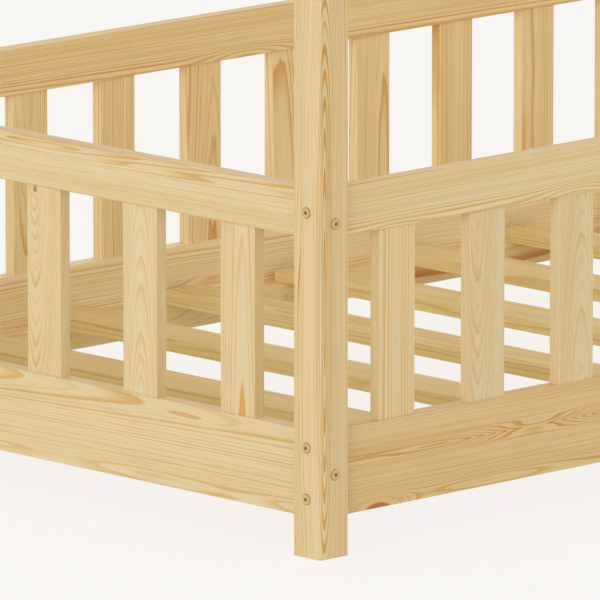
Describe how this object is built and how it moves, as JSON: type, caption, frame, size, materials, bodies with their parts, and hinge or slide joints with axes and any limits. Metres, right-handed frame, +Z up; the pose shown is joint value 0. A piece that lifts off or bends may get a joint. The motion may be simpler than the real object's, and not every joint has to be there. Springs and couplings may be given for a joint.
{
  "type": "toddler floor bed",
  "caption": "Low pine floor bed with slatted guard rails, an open entry in the front side, slatted mattress base and a gabled house frame on tall corner posts.",
  "frame": {"origin": "on the floor under the middle of the bed", "axes": "+X along the bed, +Y across it from the side with the entry to the closed side, +Z up"},
  "size_m": [2.0836, 1.0036, 1.42],
  "materials": {
    "pine": "planed pine under a clear satin lacquer, warm honey yellow, long edges eased",
    "slat_pine": "planed pine, unlacquered and a little greener and duller than the frame",
    "ledger_pine": "planed pine, darker and more orange than the frame",
    "yellow_zinc": "yellow passivated zinc on steel, satin"
  },
  "bodies": {
    "root": {"post_front_left": "pine", "post_front_right": "pine", "post_back_left": "pine", "post_back_right": "pine", "board_front": "pine", "board_back": "pine", "board_left": "pine", "board_right": "pine", "rail_back": "pine", "rail_left": "pine", "rail_right": "pine", "rail_front_left": "pine", "rail_front_right": "pine", "eaves_front": "pine", "eaves_back": "pine", "guard_slat_front_left_1": "pine", "guard_slat_front_left_2": "pine", "guard_slat_front_left_3": "pine", "guard_slat_front_left_4": "pine", "guard_slat_front_right_1": "pine", "guard_slat_front_right_2": "pine", "guard_slat_front_right_3": "pine", "guard_slat_front_right_4": "pine", "guard_slat_left_1": "pine", "guard_slat_left_2": "pine", "guard_slat_left_3": "pine", "guard_slat_left_4": "pine", "guard_slat_left_5": "pine", "guard_slat_right_1": "pine", "guard_slat_right_2": "pine", "guard_slat_right_3": "pine", "guard_slat_right_4": "pine", "guard_slat_right_5": "pine", "guard_slats_back": "pine", "stile_left": "pine", "stile_right": "pine", "ledger_front": "ledger_pine", "ledger_back": "ledger_pine", "mattress_slat_01": "slat_pine", "mattress_slat_02": "slat_pine", "mattress_slat_03": "slat_pine", "mattress_slat_04": "slat_pine", "mattress_slat_05": "slat_pine", "mattress_slat_06": "slat_pine", "mattress_slat_07": "slat_pine", "mattress_slat_08": "slat_pine", "mattress_slat_09": "slat_pine", "mattress_slat_10": "slat_pine", "rafter_front_left": "pine", "rafter_front_right": "pine", "rafter_back_left": "pine", "rafter_back_right": "pine", "ridge_beam": "pine", "connector_screws": "yellow_zinc"}
  },
  "joints": []
}
